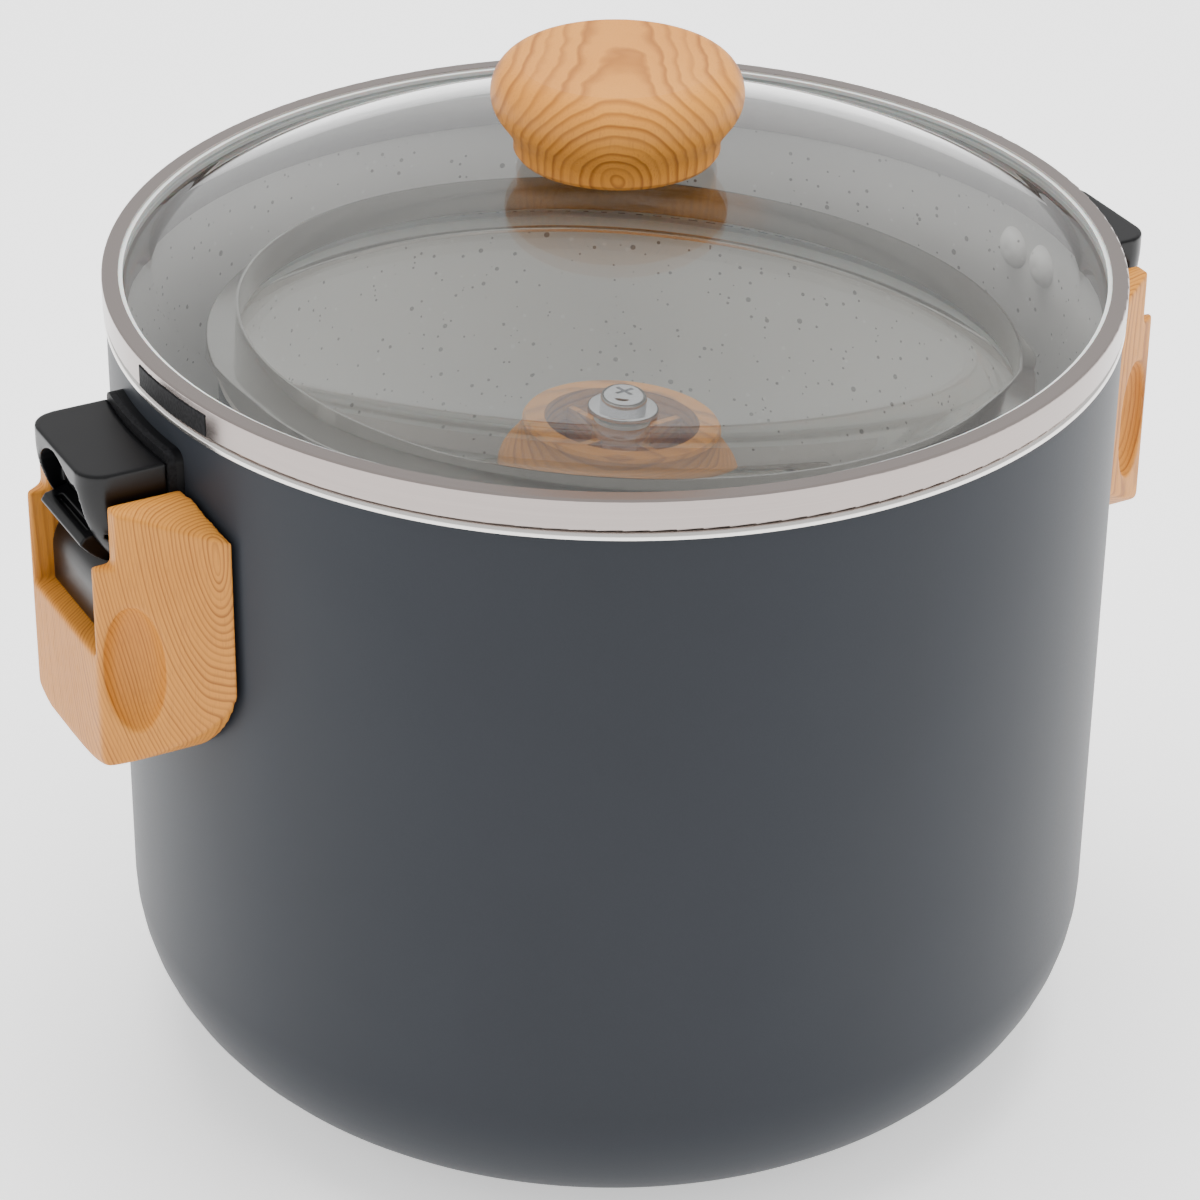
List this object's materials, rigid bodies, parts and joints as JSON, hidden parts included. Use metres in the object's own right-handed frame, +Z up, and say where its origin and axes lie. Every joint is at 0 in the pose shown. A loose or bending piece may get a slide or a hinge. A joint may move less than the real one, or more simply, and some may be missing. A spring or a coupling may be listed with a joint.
{
  "type": "stock pot with nested pans",
  "caption": "Tall straight-sided stock pot with folding wood-effect side handles, glass lid with round knob, and smaller pans with upturned glass lids nested inside.",
  "frame": {"origin": "centre of the pot's base, on the surface it stands on", "axes": "+Z up along the pot's axis, the two side handles lie along X"},
  "size_m": [0.2906, 0.246, 0.2593],
  "materials": {
    "dark_coating": "matt dark grey non-stick outside, pale speckled non-stick inside, bare turned rim",
    "pan_coating": "matt dark grey non-stick outside, pale speckled non-stick inside, bare turned rim",
    "base_steel": "turned stainless induction disc",
    "lid_steel": "polished stainless sheet",
    "tempered_glass": "clear tempered glass with a faint green edge",
    "clear_silicone": "translucent silicone",
    "black_silicone": "matt black silicone",
    "wood_effect": "pale wood-effect film on moulded plastic, satin",
    "black_plastic": "satin black moulded nylon",
    "bracket_steel": "black painted steel",
    "pin_steel": "bright steel",
    "screw_steel": "polished stainless steel",
    "rivet_coating": "pale speckled non-stick over aluminium",
    "brass": "machined brass"
  },
  "bodies": {
    "pot": {"pot_shell": "dark_coating", "pot_base_disc": "base_steel", "handle_rivets": "rivet_coating", "bracket_left": "bracket_steel", "bracket_pad_left": "black_silicone", "housing_left": "black_plastic", "hinge_pin_left": "pin_steel", "latch_spring_left": "pin_steel", "bracket_right": "bracket_steel", "bracket_pad_right": "black_silicone", "housing_right": "black_plastic", "hinge_pin_right": "pin_steel", "latch_spring_right": "pin_steel"},
    "grip_left": {"grip_left": "wood_effect", "grip_cover_left": "black_plastic"},
    "grip_right": {"grip_right": "wood_effect", "grip_cover_right": "black_plastic"},
    "latch_left": {"latch_left": "black_plastic"},
    "latch_right": {"latch_right": "black_plastic"},
    "medium_pan": {"medium_pan_shell": "pan_coating", "medium_pan_base_disc": "base_steel"},
    "small_pan": {"small_pan_shell": "pan_coating", "small_pan_base_disc": "base_steel"},
    "small_lid": {"small_lid_ring": "lid_steel", "small_lid_glass": "tempered_glass", "small_lid_glass_seal": "clear_silicone", "small_lid_knob": "wood_effect", "small_lid_knob_bush": "brass", "small_lid_knob_seal_washer": "clear_silicone", "small_lid_knob_washer": "screw_steel", "small_lid_knob_screw": "screw_steel"},
    "medium_lid": {"medium_lid_ring": "lid_steel", "medium_lid_glass": "tempered_glass", "medium_lid_glass_seal": "clear_silicone", "medium_lid_knob": "wood_effect", "medium_lid_knob_bush": "brass", "medium_lid_knob_seal_washer": "clear_silicone", "medium_lid_knob_washer": "screw_steel", "medium_lid_knob_screw": "screw_steel"},
    "main_lid": {"lid_ring": "lid_steel", "lid_glass": "tempered_glass", "lid_glass_seal": "clear_silicone", "lid_knob": "wood_effect", "lid_knob_bush": "brass", "lid_knob_seal_washer": "clear_silicone", "lid_knob_washer": "screw_steel", "lid_knob_screw": "screw_steel", "lid_drain_insert_left": "black_silicone", "lid_drain_insert_right": "black_silicone"}
  },
  "joints": [
    {"name": "grip_right_fold", "type": "hinge", "parent": "pot", "child": "grip_right", "pos_m": [0.134, 0, 0.1785], "axis": [0, -1, 0], "range_deg": [0, 90]},
    {"name": "grip_left_fold", "type": "hinge", "parent": "pot", "child": "grip_left", "pos_m": [-0.134, 0, 0.1785], "axis": [0, 1, 0], "range_deg": [0, 90]},
    {"name": "latch_right_press", "type": "slide", "parent": "pot", "child": "latch_right", "axis": [-1, 0, 0], "range_m": [0, 0.0025], "stiffness_N_per_m": 500, "springref_m": -0.001, "deforming": ["latch_spring_right"]},
    {"name": "latch_left_press", "type": "slide", "parent": "pot", "child": "latch_left", "axis": [1, 0, 0], "range_m": [0, 0.0025], "stiffness_N_per_m": 500, "springref_m": -0.001, "deforming": ["latch_spring_left"]},
    {"name": "medium_pan_lift", "type": "slide", "parent": "pot", "child": "medium_pan", "axis": [0, 0, 1], "range_m": [0, 0.19]},
    {"name": "small_pan_lift", "type": "slide", "parent": "medium_pan", "child": "small_pan", "axis": [0, 0, 1], "range_m": [0, 0.17]},
    {"name": "small_lid_lift", "type": "slide", "parent": "small_pan", "child": "small_lid", "axis": [0, 0, 1], "range_m": [0, 0.07]},
    {"name": "medium_lid_lift", "type": "slide", "parent": "small_lid", "child": "medium_lid", "axis": [0, 0, 1], "range_m": [0, 0.08]},
    {"name": "main_lid_lift", "type": "slide", "parent": "medium_lid", "child": "main_lid", "axis": [0, 0, 1], "range_m": [0, 0.1]}
  ]
}
